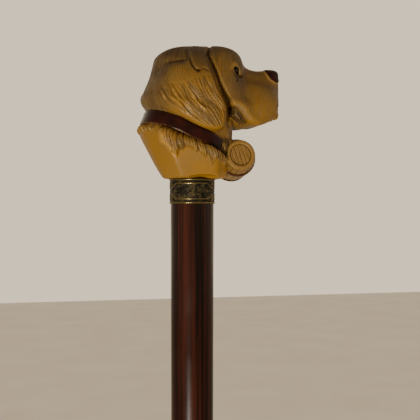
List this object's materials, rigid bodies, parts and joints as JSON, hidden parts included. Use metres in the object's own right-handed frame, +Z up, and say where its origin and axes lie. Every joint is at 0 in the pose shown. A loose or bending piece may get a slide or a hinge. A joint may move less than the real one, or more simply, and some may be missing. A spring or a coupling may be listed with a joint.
{
  "type": "walking stick",
  "caption": "Walking stick with a tapered lacquered wood shaft, a brass collar, a cast dog's-head handle carrying a small keg, and a rubber tip.",
  "frame": {"origin": "centre of the rubber tip's underside, where the stick stands", "axes": "+Z up the shaft to the handle, +X the way the dog looks, the near side in the picture is -Y"},
  "size_m": [0.0731, 0.048, 0.9145],
  "materials": {
    "rubber_tip": "matt black moulded rubber",
    "steel": "plain",
    "shaft_wood": "dark red-brown stain with black streaks under gloss lacquer",
    "collar_brass": "antiqued, dark in the hollows and bright on the raised lines",
    "head_resin": "cast resin, amber with brown washed into the carving",
    "keg_resin": "cast resin, amber with brown washed into the carving",
    "eye_black": "polished bead",
    "nose_red": "dark red gloss enamel",
    "strap_red": "dark red-brown gloss enamel",
    "link_brass": "polished"
  },
  "bodies": {
    "root": {"rubber_ferrule": "rubber_tip", "ferrule_washer": "steel", "shaft": "shaft_wood", "joining_stud": "steel", "brass_collar": "collar_brass", "dog_head": "head_resin", "eye_left": "eye_black", "eye_right": "eye_black", "nose": "nose_red", "neck_strap": "strap_red", "keg_link_near": "link_brass", "keg_link_far": "link_brass", "keg_body": "keg_resin", "keg_hoop_near": "strap_red", "keg_hoop_far": "strap_red", "keg_board_near": "keg_resin", "keg_board_far": "keg_resin"}
  },
  "joints": []
}
